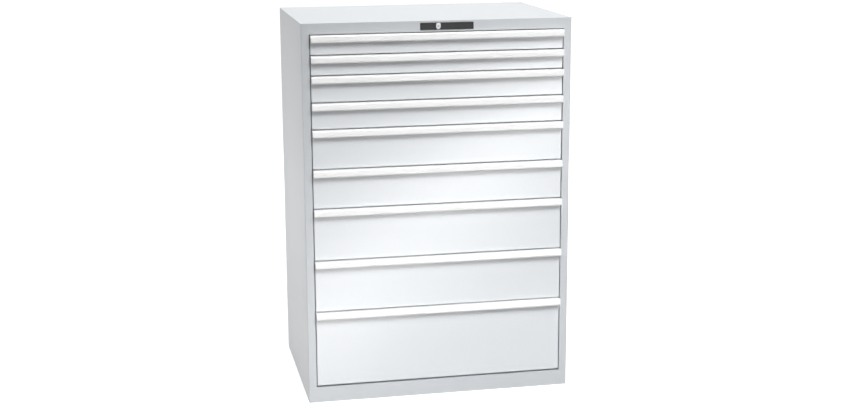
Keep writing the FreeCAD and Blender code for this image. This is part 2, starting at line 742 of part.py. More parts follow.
# Housing
side_right = side_panel()
front_upright = upright("front_upright", "front_upright_setback")
guide_upright = upright("guide_upright", "front_upright_setback", with_guides=True)
rear_upright = upright("rear_upright", REAR_UPRIGHT)
nodes = [
    side_right,
    mirrored("side_panel_left", side_right),
    top_panel(),
    rear_panel(),
    floor_pan(),
    top_rail(),
    group("uprights", [guide_upright, rear_upright, mirrored("front_upright_left", front_upright),
                       mirrored("rear_upright_left", rear_upright)]),
]

# Slides, drawn once at the height of their centre line
rail_right = cabinet_rail()
rail_left = mirrored("cabinet_rail_left", rail_right)
for side, rail in (("right", rail_right), ("left", rail_left)):
    copies = [raised(f"rail_{side}_{number}", rail, slide_centre(number)) for number in DRAWERS]
    nodes.append(group(f"cabinet_rails_{side}", copies))
middle_right = middle_member()
middle_pair = group("middle_pair", [middle_right, mirrored("middle_left", middle_right)])
inner_right = drawer_rail()
inner_pair = group("inner_pair", [inner_right, mirrored("inner_left", inner_right), lock_catch()])

# Drawers
cap_right = grip_end()
grip = group("grip", [grip_strip(), cap_right, mirrored("grip_end_left", cap_right)])
for number in DRAWERS:
    nodes += [
        drawer_tray(number),
        drawer_front(number),
        raised(f"grip_bar_{number}", grip, front_top(number)),
        raised(f"drawer_rails_{number}", inner_pair, slide_centre(number)),
        raised(f"slide_members_{number}", middle_pair, slide_centre(number)),
    ]

# Central lock
finger = bar_finger()
fingers = [raised(f"finger_{number}", finger, finger_foot(number)) for number in DRAWERS]
nodes += [
    lock_plate(),
    lock_shield(),
    lock_cylinder(),
    lock_cam(),
    lock_rod(),
    group("lock_bar", [bar_strip()] + fingers),
]
doc.recompute()

# Every feature and every node must be sound before anything is written
for item in doc.Objects:
    if "Invalid" in item.State or "Error" in item.State:
        raise RuntimeError(f"{item.Label} did not build: {item.State}")
    if item.TypeId == "PartDesign::Pocket" and item.Shape.Volume >= item.BaseFeature.Shape.Volume:
        raise RuntimeError(f"{item.Label} cuts nothing")
for node in nodes:
    shape = Part.getShape(node)
    if shape.isNull() or not shape.isValid():
        raise RuntimeError(f"{node.Label} has no valid shape")

os.makedirs("parts", exist_ok=True)
for node in nodes:
    Part.getShape(node).exportStep(f"parts/{node.Label}.step")
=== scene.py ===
# Drawer cabinet in light grey and white painted sheet steel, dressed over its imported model.
#
# Metres throughout. +X is to the right seen from the front, the fronts face -Y, +Z is up.

import math

import bmesh
import bpy
from mathutils import Matrix, Quaternion, Vector


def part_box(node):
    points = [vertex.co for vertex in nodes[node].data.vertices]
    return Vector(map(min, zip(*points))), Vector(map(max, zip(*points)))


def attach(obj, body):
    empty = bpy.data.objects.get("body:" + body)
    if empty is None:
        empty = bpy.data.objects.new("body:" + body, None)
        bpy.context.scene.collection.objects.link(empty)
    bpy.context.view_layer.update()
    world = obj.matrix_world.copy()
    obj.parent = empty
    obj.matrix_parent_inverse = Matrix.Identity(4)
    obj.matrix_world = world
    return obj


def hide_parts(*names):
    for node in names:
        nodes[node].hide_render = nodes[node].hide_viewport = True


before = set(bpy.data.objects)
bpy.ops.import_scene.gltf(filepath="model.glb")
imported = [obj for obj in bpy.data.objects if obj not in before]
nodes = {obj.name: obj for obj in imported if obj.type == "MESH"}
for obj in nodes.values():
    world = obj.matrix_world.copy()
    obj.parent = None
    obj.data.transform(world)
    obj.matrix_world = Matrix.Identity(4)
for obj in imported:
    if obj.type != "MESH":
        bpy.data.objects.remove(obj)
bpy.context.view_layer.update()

# The front plane of the housing, which every place below is measured from
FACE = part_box("side_panel_right")[0].y
DRAWERS = range(1, 10)

# Sheet and moulding sizes
FRONT_SHEET = 0.0012
FRONT_RADIUS = 0.0025
GRIP_DEPTH = 0.022
GRIP_HEIGHT = 0.028
GRIP_WALL = 0.0018
GRIP_RAKE = 0.004
GRIP_TOP_RADIUS = 0.007
GRIP_FOOT_RADIUS = 0.008
CHANNEL_TOP = 0.0075
CHANNEL_FOOT = 0.0175
CHANNEL_DEPTH = 0.0009
CAP = 0.0015
TRAY_SHEET = 0.0012
SLOT_PITCH = 0.017
SLOT_WIDTH = 0.003
SLOT_HEIGHT = 0.014
ROW_PITCH = 0.033
ROW_MARGIN = 0.006
SIDE_WALL_EDGE = 0.006
END_WALL_EDGE = 0.008
TRAY_SKIRT = 0.011
TRAY_BEND = 0.0025
HEM_HEIGHT = 0.0042
HEM_RADIUS = 0.0021
HEM_TAIL = 0.010
RAIL_STEEL = 0.002
SLIDE_HEIGHT = 0.042

# Rivets: how many in a row, how far the first and last are from its ends, and how far the rear
# rows are from the edges of the rear panel
RAIL_RIVETS = 6
RAIL_RIVET_END = 0.022
REAR_RIVETS = 8
REAR_RIVET_END = 0.045
REAR_RIVET_EDGE = 0.0065

# Rings of a rivet head, from its rim to the floor of its pin hole, as shares of radius and height
RIVET_RINGS = ((1.0, 0.0), (0.96, 0.5), (0.78, 0.9), (0.46, 1.0), (0.38, 0.85), (0.34, 0.1))
RIVET_SIDES = 12

# Lock: sides of its round parts, radius of the hole in the shield, and of the plate's corners
LOCK_SIDES = 64
SHIELD_HOLE = 0.0052
PLATE_CORNER = 0.0018


# Materials

class Shader:
    """A node material under construction: makes nodes and joins them with short calls."""

    def __init__(self, name, **sockets):
        self.material = bpy.data.materials.new(name)
        self.material.use_nodes = True
        self.tree = self.material.node_tree
        self.surface = self.tree.nodes["Principled BSDF"]
        self.where = self.node("ShaderNodeTexCoord").outputs["Object"]
        for socket, setting in sockets.items():
            self.surface.inputs[socket.replace("_", " ")].default_value = setting

    def node(self, kind, **settings):
        made = self.tree.nodes.new(kind)
        for key, setting in settings.items():
            setattr(made, key, setting)
        return made

    def join(self, source, target):
        self.tree.links.new(source, target)

    def noise(self, scale, detail=2.0, roughness=0.5, stretch=(1.0, 1.0, 1.0)):
        """Noise between 0 and 1 in object space; stretch squeezes it along an axis."""
        mapping = self.node("ShaderNodeMapping")
        mapping.inputs["Scale"].default_value = stretch
        self.join(self.where, mapping.inputs["Vector"])
        texture = self.node("ShaderNodeTexNoise")
        texture.inputs["Scale"].default_value = scale
        texture.inputs["Detail"].default_value = detail
        texture.inputs["Roughness"].default_value = roughness
        self.join(mapping.outputs["Vector"], texture.inputs["Vector"])
        return texture.outputs["Fac"]

    def remap(self, source, low, high, start=0.0, end=1.0):
        """Spreads low..high of a value over start..end."""
        spread = self.node("ShaderNodeMapRange")
        for socket, number in zip(("From Min", "From Max", "To Min", "To Max"), (low, high, start, end)):
            spread.inputs[socket].default_value = number
        self.join(source, spread.inputs["Value"])
        return spread.outputs["Result"]

    def mix(self, factor, first, second):
        blend = self.node("ShaderNodeMix", data_type="RGBA")
        for socket, colour in ((blend.inputs[6], first), (blend.inputs[7], second)):
            if isinstance(colour, tuple):
                socket.default_value = (*colour, 1.0)
            else:
                self.join(colour, socket)
        self.join(factor, blend.inputs[0])
        return blend.outputs[2]

    def edges(self, reach):
        """1 on edges, 0 on flats, from the difference between true and rounded normals."""
        rounded = self.node("ShaderNodeBevel", samples=4)
        rounded.inputs["Radius"].default_value = reach
        true = self.node("ShaderNodeNewGeometry")
        dot = self.node("ShaderNodeVectorMath", operation="DOT_PRODUCT")
        self.join(rounded.outputs["Normal"], dot.inputs[0])
        self.join(true.outputs["Normal"], dot.inputs[1])
        return self.remap(dot.outputs["Value"], 0.995, 0.8)

    def bump(self, height, distance, strength=1.0, below=None):
        relief = self.node("ShaderNodeBump")
        relief.inputs["Strength"].default_value = strength
        relief.inputs["Distance"].default_value = distance
        self.join(height, relief.inputs["Height"])
        if below is not None:
            self.join(below, relief.inputs["Normal"])
        return relief.outputs["Normal"]


def painted_steel(name, colour, worn, roughness, wave=0.35):
    """Powder coat: fine orange peel, slight waviness of the sheet, edges rubbed a little paler."""
    shader = Shader(name, Specular_IOR_Level=0.5, Coat_Weight=0.2, Coat_Roughness=0.24)
    cloud = shader.remap(shader.noise(2.3, 3.0), 0.3, 0.7)
    base = shader.mix(cloud, tuple(part * 0.985 for part in colour), colour)
    rubbed = shader.edges(0.0012)
    shader.join(shader.mix(rubbed, base, worn), shader.surface.inputs["Base Color"])
    fine = shader.noise(900.0, 2.0, 0.6)
    shader.join(shader.remap(fine, 0.25, 0.75, roughness - 0.04, roughness + 0.05),
                shader.surface.inputs["Roughness"])
    sheet = shader.bump(shader.noise(3.2, 1.0), 0.0016, wave)
    peel = shader.bump(shader.noise(520.0, 1.0), 0.00006, 0.5, sheet)
    shader.join(peel, shader.surface.inputs["Normal"])
    return shader.material


def plated_steel(name, colour, grain=(1.0, 1.0, 1.0)):
    """Zinc plating with faint spangle and rolling lines."""
    shader = Shader(name, Metallic=0.9)
    spangle = shader.remap(shader.noise(60.0, 3.0), 0.3, 0.7)
    shader.join(shader.mix(spangle, tuple(part * 0.82 for part in colour), colour),
                shader.surface.inputs["Base Color"])
    lines = shader.noise(420.0, 2.0, 0.7, grain)
    shader.join(shader.remap(lines, 0.2, 0.8, 0.30, 0.46), shader.surface.inputs["Roughness"])
    shader.join(shader.bump(lines, 0.00005, 0.5), shader.surface.inputs["Normal"])
    return shader.material


def moulded_plastic(name, colour, worn, roughness, grain):
    """Plastic with a fine moulded grain, edges rubbed a little paler."""
    shader = Shader(name, Specular_IOR_Level=0.25)
    cloud = shader.remap(shader.noise(35.0, 3.0), 0.3, 0.7)
    rubbed = shader.edges(0.0006)
    base = shader.mix(cloud, tuple(part * 0.985 for part in colour), colour)
    shader.join(shader.mix(rubbed, base, worn), shader.surface.inputs["Base Color"])
    sparkle = shader.noise(grain, 2.0, 0.6)
    shader.join(shader.remap(sparkle, 0.3, 0.7, roughness - 0.05, roughness + 0.08),
                shader.surface.inputs["Roughness"])
    shader.join(shader.bump(sparkle, 0.00004, 0.5), shader.surface.inputs["Normal"])
    return shader.material


HOUSING_PAINT = painted_steel("housing_paint", (0.54, 0.563, 0.586), (0.61, 0.63, 0.65), 0.40)
FRONT_PAINT = painted_steel("front_paint", (0.700, 0.722, 0.744), (0.78, 0.795, 0.81), 0.26)
GRIP_PAINT = painted_steel("grip_paint", (0.95, 0.95, 0.95), (0.96, 0.96, 0.96), 0.24, 0.04)
TRAY_PAINT = painted_steel("tray_paint", (0.58, 0.605, 0.63), (0.66, 0.68, 0.70), 0.45)
RAIL_ZINC = plated_steel("rail_zinc", (0.50, 0.51, 0.525), (1.0, 0.03, 1.0))
UPRIGHT_ZINC = plated_steel("upright_zinc", (0.46, 0.47, 0.485), (1.0, 1.0, 0.03))
ROD_ZINC = plated_steel("rod_zinc", (0.50, 0.50, 0.48), (0.03, 1.0, 1.0))
RIVET = plated_steel("rivet", (0.36, 0.365, 0.375))
BLACK_PLASTIC = moulded_plastic("lock_plastic", (0.032, 0.032, 0.031), (0.05, 0.05, 0.05), 0.60, 2600.0)
STRIP_PLASTIC = moulded_plastic("strip_plastic", (0.95, 0.95, 0.95), (0.96, 0.96, 0.96), 0.30, 2600.0)
SATIN_CHROME = plated_steel("satin_chrome", (0.41, 0.41, 0.41), (1.0, 1.0, 0.1))
# Near-black for the walls and floor of the key slot: painted shade, not the colour of the metal in there
SLOT_PAINTED_SHADE = plated_steel("key_slot", (0.10, 0.10, 0.10))


# Mesh helpers

def shade(piece, angle=30.0):
    """Smooth faces with hard edges above an angle, and normals that keep flats flat."""
    mesh = piece.data
    mesh.shade_smooth()
    mesh.set_sharp_from_angle(angle=math.radians(angle))
    weighted = piece.modifiers.new("flat_faces", "WEIGHTED_NORMAL")
    weighted.keep_sharp = True
    weighted.weight = 90


def new_piece(name, mesh_maker, materials, body, replaced=(), angle=30.0):
    """Makes a piece from a bmesh that mesh_maker fills, and hands it to the frame."""
    mesh = bpy.data.meshes.new(name)
    working = bmesh.new()
    mesh_maker(working)
    bmesh.ops.remove_doubles(working, verts=working.verts, dist=1e-6)
    bmesh.ops.recalc_face_normals(working, faces=working.faces)
    working.to_mesh(mesh)
    working.free()
    piece = bpy.data.objects.new(name, mesh)
    bpy.context.scene.collection.objects.link(piece)
    for material in materials:
        mesh.materials.append(material)
    shade(piece, angle)
    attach(piece, body)
    if replaced:
        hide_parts(*replaced)
    return piece


def arc(centre, radius, start, end, steps):
    """Points of an arc in a section, angles in degrees."""
    cx, cy = centre
    angles = [math.radians(start + (end - start) * step / steps) for step in range(steps + 1)]
    return [(cx + radius * math.cos(angle), cy + radius * math.sin(angle)) for angle in angles]


def sweep(working, section, place, start, end):
    """Runs a closed section along a straight line and fills both ends.
    place(u, v, along) gives a point in space."""
    rings = [[working.verts.new(place(u, v, along)) for u, v in section] for along in (start, end)]
    count = len(section)
    for step in range(count):
        after = (step + 1) % count
        working.faces.new((rings[0][step], rings[0][after], rings[1][after], rings[1][step]))
    for ring in rings:
        working.faces.new(ring)


def box(working, low, high):
    """A block between two opposite corners."""
    made = []
    for x in (low[0], high[0]):
        for y in (low[1], high[1]):
            for z in (low[2], high[2]):
                made.append(working.verts.new((x, y, z)))
    for ring in ((0, 1, 3, 2), (4, 6, 7, 5), (0, 4, 5, 1), (2, 3, 7, 6), (0, 2, 6, 4), (1, 5, 7, 3)):
        working.faces.new([made[step] for step in ring])


def pierced_plate(working, columns, rows, is_hole, place, thickness):
    """A plate cut into cells by its column and row lines, with the cells that are holes left out.
    place(u, v, depth) gives a point in space."""
    cache = {}

    def vertex(column, row, depth):
        key = (column, row, depth)
        if key not in cache:
            cache[key] = working.verts.new(place(columns[column], rows[row], depth))
        return cache[key]

    def solid(column, row):
        inside = 0 <= column < len(columns) - 1 and 0 <= row < len(rows) - 1
        return inside and not is_hole(column, row)

    for column in range(len(columns) - 1):
        for row in range(len(rows) - 1):
            if not solid(column, row):
                continue
            for depth in (0.0, thickness):
                working.faces.new([vertex(column, row, depth), vertex(column + 1, row, depth),
                                   vertex(column + 1, row + 1, depth), vertex(column, row + 1, depth)])
            sides = (((column - 1, row), (column, row), (column, row + 1)),
                     ((column + 1, row), (column + 1, row), (column + 1, row + 1)),
                     ((column, row - 1), (column, row), (column + 1, row)),
                     ((column, row + 1), (column, row + 1), (column + 1, row + 1)))
            for neighbour, first, second in sides:
                if not solid(*neighbour):
                    working.faces.new([vertex(*first, 0.0), vertex(*second, 0.0),
                                       vertex(*second, thickness), vertex(*first, thickness)])


def rivet(working, centre, normal, radius, height):
    """The head of a blind rivet on a surface: a low dome with the hole of its pin."""
    normal = Vector(normal)
    side = normal.orthogonal().normalized()
    other = normal.cross(side)
    rings = []
    for reach, rise in RIVET_RINGS:
        ring = []
        for step in range(RIVET_SIDES):
            angle = math.tau * step / RIVET_SIDES
            offset = (side * math.cos(angle) + other * math.sin(angle)) * radius * reach
            ring.append(working.verts.new(Vector(centre) + offset + normal * height * rise))
        rings.append(ring)
    for low, high in zip(rings, rings[1:]):
        for step in range(RIVET_SIDES):
            after = (step + 1) % RIVET_SIDES
            working.faces.new((low[step], low[after], high[after], high[step]))
    working.faces.new(rings[-1])


def rivet_mesh(places, radius, height):
    """Heads at places, each a point and the direction that its surface faces."""
    def make(working):
        for centre, normal in places:
            rivet(working, centre, normal, radius, height)
    return make


# Drawer fronts: a folded sheet with rounded bends, open behind

def front_mesh(low, high):
    """A block with its front edges rounded, opened at the back and given the sheet's thickness."""
    def make(working):
        box(working, (low.x, low.y, low.z), (high.x, high.y, high.z))
        front = low.y + 1e-5
        visible = [edge for edge in working.edges
                   if any(vert.co.y < front for vert in edge.verts)]
        bmesh.ops.bevel(working, geom=visible, offset=FRONT_RADIUS, segments=6, profile=0.5,
                        affect="EDGES", clamp_overlap=True)
        rear = [face for face in working.faces if all(vert.co.y > high.y - 1e-5 for vert in face.verts)]
        bmesh.ops.delete(working, geom=rear, context="FACES")
        bmesh.ops.recalc_face_normals(working, faces=working.faces)
        bmesh.ops.solidify(working, geom=list(working.faces), thickness=FRONT_SHEET)
    return make


# Grip bars: an extrusion with a channel for a label strip, and two end caps

LEAN = math.atan2(GRIP_RAKE, GRIP_HEIGHT)
TOE = -GRIP_DEPTH - GRIP_FOOT_RADIUS * ((1.0 + math.sin(LEAN)) / math.cos(LEAN) - 1.0)
BROW = TOE + GRIP_RAKE
TOP_CENTRE = (BROW + GRIP_TOP_RADIUS * (1.0 - math.sin(LEAN)) / math.cos(LEAN), -GRIP_TOP_RADIUS)
FOOT_CENTRE = (-GRIP_DEPTH + GRIP_FOOT_RADIUS, -GRIP_HEIGHT + GRIP_FOOT_RADIUS)
FACE_ANGLE = 180.0 - math.degrees(LEAN)


def on_face(down, inward=0.0):
    """A point of the raked face, as far down from its upper corner and in from its surface as given."""
    return (BROW - down * math.sin(LEAN) + inward * math.cos(LEAN),
            -down * math.cos(LEAN) - inward * math.sin(LEAN))


def grip_section():
    """Outer and inner contour of the extrusion, seen from the right: u rearwards, v upwards."""
    height, wall, chamfer = GRIP_HEIGHT, GRIP_WALL, 0.0005
    outer = [(0.0, 0.0)] + arc(TOP_CENTRE, GRIP_TOP_RADIUS, 90.0, FACE_ANGLE, 10)
    outer += [on_face(CHANNEL_TOP - chamfer), on_face(CHANNEL_TOP, CHANNEL_DEPTH),
              on_face(CHANNEL_FOOT, CHANNEL_DEPTH), on_face(CHANNEL_FOOT + chamfer)]
    outer += arc(FOOT_CENTRE, GRIP_FOOT_RADIUS, FACE_ANGLE, 270.0, 14)
    lip = FOOT_CENTRE[0]
    outer += [(lip + 0.0002, -height + 0.0003), (lip + 0.0003, -height + 0.0009),
              (lip + 0.0002, -height + 0.0016)]
    inner = arc(FOOT_CENTRE, GRIP_FOOT_RADIUS - wall, 270.0, FACE_ANGLE, 12)
    inner += arc(TOP_CENTRE, GRIP_TOP_RADIUS - wall, FACE_ANGLE, 90.0, 8)
    inner += [(-wall - 0.001, -wall), (-wall, -wall - 0.001), (-wall, -height + 0.0004),
              (-wall + 0.0004, -height), (0.0, -height)]
    return outer + inner


def grip_mesh(box_low, box_high):
    """The extrusion between two end caps that close it off."""
    def place(u, v, along):
        return (along, FACE + u, box_high.z + v)

    def make(working):
        sweep(working, grip_section(), place, box_low.x + CAP, box_high.x - CAP)
        outline = [(0.0, 0.0)] + arc(TOP_CENTRE, GRIP_TOP_RADIUS, 90.0, FACE_ANGLE, 10)
        outline += arc(FOOT_CENTRE, GRIP_FOOT_RADIUS, FACE_ANGLE, 270.0, 14) + [(0.0, -GRIP_HEIGHT)]
        for start, end in ((box_low.x, box_low.x + CAP), (box_high.x - CAP, box_high.x)):
            sweep(working, outline, place, start, end)
    return make


def strip_mesh(box_low, box_high):
    """The blank label strip that snaps into the channel, flush with the grip's face."""
    def place(down, inward, along):
        u, v = on_face(down, inward)
        return (along, FACE + u, box_high.z + v)

    play = 0.0001
    high, low = CHANNEL_TOP + play, CHANNEL_FOOT - play
    section = [(high, CHANNEL_DEPTH), (high + 0.0001, 0.0004), (high + 0.0005, 0.0001), (high + 0.0015, 0.0),
               (low - 0.0015, 0.0), (low - 0.0005, 0.0001), (low - 0.0001, 0.0004), (low, CHANNEL_DEPTH)]

    def make(working):
        sweep(working, section, place, box_low.x + CAP + 0.002, box_high.x - CAP - 0.002)
    return make


# Trays: folded sheet with pierced walls and rolled hems

def slot_lines(start, end, pitch, width):
    """Lines across a wall, two for each slot, with the slots centred on the wall."""
    count = int((end - start - 2 * width) / pitch)
    first = (start + end) / 2 - (count - 1) * pitch / 2
    lines = [start]
    for step in range(count):
        lines += [first + step * pitch - width / 2, first + step * pitch + width / 2]
    return lines + [end]


def tray_mesh(low, high):
    """Base with rounded bends, four pierced walls and a folded edge along the top of each."""
    wall_low = low.z + TRAY_SKIRT
    wall_high = high.z - HEM_HEIGHT
    rows = [wall_low]
    count = max(1, int((wall_high - wall_low - ROW_MARGIN) / ROW_PITCH))
    spare = (wall_high - wall_low - (count - 1) * ROW_PITCH - SLOT_HEIGHT) / 2
    for step in range(count):
        foot = wall_low + spare + step * ROW_PITCH
        rows += [foot, foot + SLOT_HEIGHT]
    rows.append(wall_high)

    def is_slot(column, row):
        return column % 2 == 1 and row % 2 == 1

    def side_wall(working, side):
        columns = slot_lines(low.y + SIDE_WALL_EDGE, high.y - SIDE_WALL_EDGE, SLOT_PITCH, SLOT_WIDTH)
        edge = high.x if side > 0 else low.x

        def place(u, v, depth):
            return (edge - side * depth, u, v)
        pierced_plate(working, columns, rows, is_slot, place, TRAY_SHEET)
        for start, end in ((low.y, low.y + SIDE_WALL_EDGE), (high.y - SIDE_WALL_EDGE, high.y)):
            inner = edge - side * TRAY_SHEET
            box(working, (min(edge, inner), start, wall_low), (max(edge, inner), end, wall_high))

    def end_wall(working, side):
        columns = slot_lines(low.x + END_WALL_EDGE, high.x - END_WALL_EDGE, SLOT_PITCH, SLOT_WIDTH)
        edge = high.y if side > 0 else low.y

        def place(u, v, depth):
            return (u, edge - side * depth, v)
        pierced_plate(working, columns, rows, is_slot, place, TRAY_SHEET)
        for start, end in ((low.x + TRAY_SHEET, low.x + END_WALL_EDGE),
                           (high.x - END_WALL_EDGE, high.x - TRAY_SHEET)):
            inner = edge - side * TRAY_SHEET
            box(working, (start, min(edge, inner), wall_low), (end, max(edge, inner), wall_high))

    def channel():
        """Section of the base and of both skirts, bent with a radius."""
        radius = TRAY_BEND
        outer = [(high.x, wall_low)] + arc((high.x - radius, low.z + radius), radius, 0.0, -90.0, 6)
        outer += arc((low.x + radius, low.z + radius), radius, -90.0, -180.0, 6) + [(low.x, wall_low)]
        inner_radius = radius - TRAY_SHEET
        inner = [(low.x + TRAY_SHEET, wall_low)]
        inner += arc((low.x + radius, low.z + radius), inner_radius, 180.0, 270.0, 6)
        inner += arc((high.x - radius, low.z + radius), inner_radius, 270.0, 360.0, 6)
        inner += [(high.x - TRAY_SHEET, wall_low)]
        return outer + inner

    def side_hem(side):
        """Section of the edge folded inwards and down."""
        edge = high.x if side > 0 else low.x
        radius = HEM_RADIUS
        centre = (edge - side * radius, high.z - radius)
        turn = arc((0.0, 0.0), radius, 0.0, 180.0, 8)
        outside = [(edge, wall_high)] + [(centre[0] + side * u, centre[1] + v) for u, v in turn]
        tail = high.z - HEM_TAIL
        outside += [(edge - side * 2 * radius, tail), (edge - side * (2 * radius - TRAY_SHEET * 0.8), tail)]
        return outside + [(edge - side * TRAY_SHEET, wall_high)]

    def end_hem(working, side):
        """Edge folded flat, a little below and between the side hems."""
        gap, drop = 0.006, 0.0002
        edge = high.y if side > 0 else low.y
        inner = edge - side * TRAY_SHEET * 1.9
        box(working, (low.x + gap, min(edge, inner), wall_high),
            (high.x - gap, max(edge, inner), high.z - drop))

    def end_skirt(working, side):
        """The strip below the pierced part of an end wall, between the bends of the base."""
        gap, lift = 0.004, 0.0015
        edge = high.y if side > 0 else low.y
        inner = edge - side * TRAY_SHEET
        box(working, (low.x + gap, min(edge, inner), low.z + lift),
            (high.x - gap, max(edge, inner), wall_low))

    def make(working):
        def along_y(u, v, along):
            return (u, along, v)
        sweep(working, channel(), along_y, low.y, high.y)
        for side in (-1, 1):
            side_wall(working, side)
            end_wall(working, side)
            sweep(working, side_hem(side), along_y, low.y, high.y)
            end_hem(working, side)
            end_skirt(working, side)
    return make


# Lock: plate, shield and cylinder with its key slot

def ring_of(shape, count):
    """count points of a closed outline, one for each direction from its middle."""
    points = []
    for step in range(count):
        angle = math.tau * step / count
        direction = (math.cos(angle), math.sin(angle))
        best = None
        for (ax, az), (bx, bz) in zip(shape, shape[1:] + shape[:1]):
            dx, dz = bx - ax, bz - az
            cross = direction[0] * dz - direction[1] * dx
            if abs(cross) < 1e-12:
                continue
            reach = (ax * dz - az * dx) / cross
            share = (ax * direction[1] - az * direction[0]) / cross
            if reach > 0 and -1e-9 <= share <= 1 + 1e-9:
                best = reach if best is None else min(best, reach)
        points.append((direction[0] * best, direction[1] * best))
    return points


def stack(working, centre, rings, material=0, close_first=False, close_last=False):
    """Joins rings of points, each given with its y, into one skin."""
    made = [[working.verts.new((centre[0] + u, y, centre[1] + v)) for u, v in ring] for ring, y in rings]
    for low, high in zip(made, made[1:]):
        for step in range(len(low)):
            after = (step + 1) % len(low)
            face = working.faces.new((low[step], low[after], high[after], high[step]))
            face.material_index = material
    if close_first:
        working.faces.new(made[0]).material_index = material
    if close_last:
        working.faces.new(made[-1]).material_index = material


def scaled(ring, factor):
    """A ring made larger or smaller about the middle of the lock."""
    return [(u * factor, v * factor) for u, v in ring]


def shield_outline(width, height):
    """Rounded shoulders, straight sides and a soft point below, around the middle."""
    half, top, foot = width / 2, height / 2, -height / 2
    right = arc((half - 0.0035, top - 0.0035), 0.0035, 90.0, 0.0, 6)
    right += [(half, foot + 0.0095), (half * 0.97, foot + 0.0078), (half * 0.86, foot + 0.0056),
              (half * 0.68, foot + 0.0034), (half * 0.45, foot + 0.0015), (half * 0.2, foot + 0.0003),
              (0.0, foot)]
    left = [(-u, v) for u, v in reversed(right[:-1])]
    return right + left


def plate_mesh(low, high, lock):
    """The black plate with rounded corners, a raised rim and a face sunk a little inside it."""
    def make(working):
        left, right = low.x - lock[0], high.x - lock[0]
        foot, top = low.z - lock[1], high.z - lock[1]
        corner = PLATE_CORNER
        outer = arc((right - corner, top - corner), corner, 90.0, 0.0, 5)
        outer += arc((right - corner, foot + corner), corner, 0.0, -90.0, 5)
        outer += arc((left + corner, foot + corner), corner, -90.0, -180.0, 5)
        outer += arc((left + corner, top - corner), corner, 180.0, 90.0, 5)

        def shrunk(by):
            span_x, span_z = (right - left) / 2, (top - foot) / 2
            mid_x, mid_z = (right + left) / 2, (top + foot) / 2
            return [(mid_x + (u - mid_x) * (1 - by / span_x), mid_z + (v - mid_z) * (1 - by / span_z))
                    for u, v in outer]
        front = low.y
        rings = [(outer, high.y), (outer, front + 0.0007), (shrunk(0.0003), front + 0.0002),
                 (shrunk(0.0008), front), (shrunk(0.0022), front), (shrunk(0.0027), front + 0.0004)]
        stack(working, lock, rings, close_first=True, close_last=True)
    return make


def unit_circle():
    """Points of a circle with radius 1, one for each side of the round parts of the lock."""
    angles = [math.tau * step / LOCK_SIDES for step in range(LOCK_SIDES)]
    return [(math.cos(angle), math.sin(angle)) for angle in angles]


def shield_mesh(low, high, lock):
    """The escutcheon: nearly flat, rounded at its rim and at the hole of the cylinder."""
    def make(working):
        outer = ring_of(shield_outline(high.x - low.x, high.z - low.z), LOCK_SIDES)
        hole = scaled(unit_circle(), SHIELD_HOLE)

        def between(share):
            return [(a[0] * (1 - share) + b[0] * share, a[1] * (1 - share) + b[1] * share)
                    for a, b in zip(outer, hole)]
        front, back = low.y, high.y
        rings = [(outer, back), (outer, back - 0.0006), (between(0.04), front + 0.0004),
                 (between(0.12), front + 0.00012), (between(0.3), front), (between(0.8), front + 0.0001),
                 (between(0.93), front + 0.0003), (hole, front + 0.0006), (hole, back)]
        stack(working, lock, rings)
    return make


def cylinder_mesh(low, high, lock):
    """The barrel with a stepped face, and a key slot whose walls and floor are painted near-black, as
    painted shade.
    """
    def make(working):
        circle = unit_circle()
        radius = (high.x - low.x) / 2
        half_width, half_height = 0.0008, 0.0031
        slot = ring_of([(-half_width, -half_height), (half_width, -half_height), (half_width, half_height),
                        (-half_width, half_height)], LOCK_SIDES)
        front = low.y
        barrel = [(scaled(circle, radius), high.y), (scaled(circle, radius), front + 0.0005),
                  (scaled(circle, radius * 0.96), front + 0.0001), (scaled(circle, radius * 0.9), front),
                  (scaled(circle, radius * 0.78), front), (scaled(circle, radius * 0.74), front + 0.00025),
                  (scaled(slot, 1.12), front + 0.00025), (slot, front + 0.0006)]
        stack(working, lock, barrel, close_first=True)
        # The slot's walls and floor take the second material, the painted shade
        stack(working, lock, [(slot, front + 0.0006), (slot, front + 0.004)], material=1, close_last=True)
    return make


# Dressing the drawers

for number in DRAWERS:
    body = f"drawer_{number}"
    new_piece(f"front_sheet_{number}", front_mesh(*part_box(f"drawer_front_{number}")), [FRONT_PAINT], body,
              [f"drawer_front_{number}"])
    grip_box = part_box(f"grip_bar_{number}")
    new_piece(f"grip_extrusion_{number}", grip_mesh(*grip_box), [GRIP_PAINT], body,
              [f"grip_bar_{number}"])
    new_piece(f"label_strip_{number}", strip_mesh(*grip_box), [STRIP_PLASTIC], body)
    new_piece(f"tray_sheet_{number}", tray_mesh(*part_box(f"drawer_tray_{number}")), [TRAY_PAINT], body,
              [f"drawer_tray_{number}"])


# Rivets that hold the drawer rails on the trays and the rear panel in the flanges of the side walls

for number in DRAWERS:
    tray_low, tray_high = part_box(f"drawer_tray_{number}")
    rail_low, rail_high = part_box(f"drawer_rails_{number}")
    run = rail_high.y - rail_low.y - 2 * RAIL_RIVET_END
    along = [rail_low.y + RAIL_RIVET_END + step * run / (RAIL_RIVETS - 1) for step in range(RAIL_RIVETS)]
    heads = [((side * (tray_high.x + RAIL_STEEL), y, tray_low.z + SLIDE_HEIGHT / 2), (side, 0.0, 0.0))
             for side in (-1, 1) for y in along]
    new_piece(f"rail_rivets_{number}", rivet_mesh(heads, 0.0036, 0.0013), [RIVET], f"drawer_{number}",
              angle=60.0)
rear_low, rear_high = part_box("rear_panel")
flange_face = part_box("side_panel_right")[1].y
run = rear_high.z - rear_low.z - 2 * REAR_RIVET_END
levels = [rear_low.z + REAR_RIVET_END + step * run / (REAR_RIVETS - 1) for step in range(REAR_RIVETS)]
heads = [((side * (rear_high.x - REAR_RIVET_EDGE), flange_face, z), (0.0, 1.0, 0.0))
         for side in (-1, 1) for z in levels]
new_piece("rear_rivets", rivet_mesh(heads, 0.0050, 0.0012), [RIVET], "cabinet", angle=60.0)


# Dressing the lock

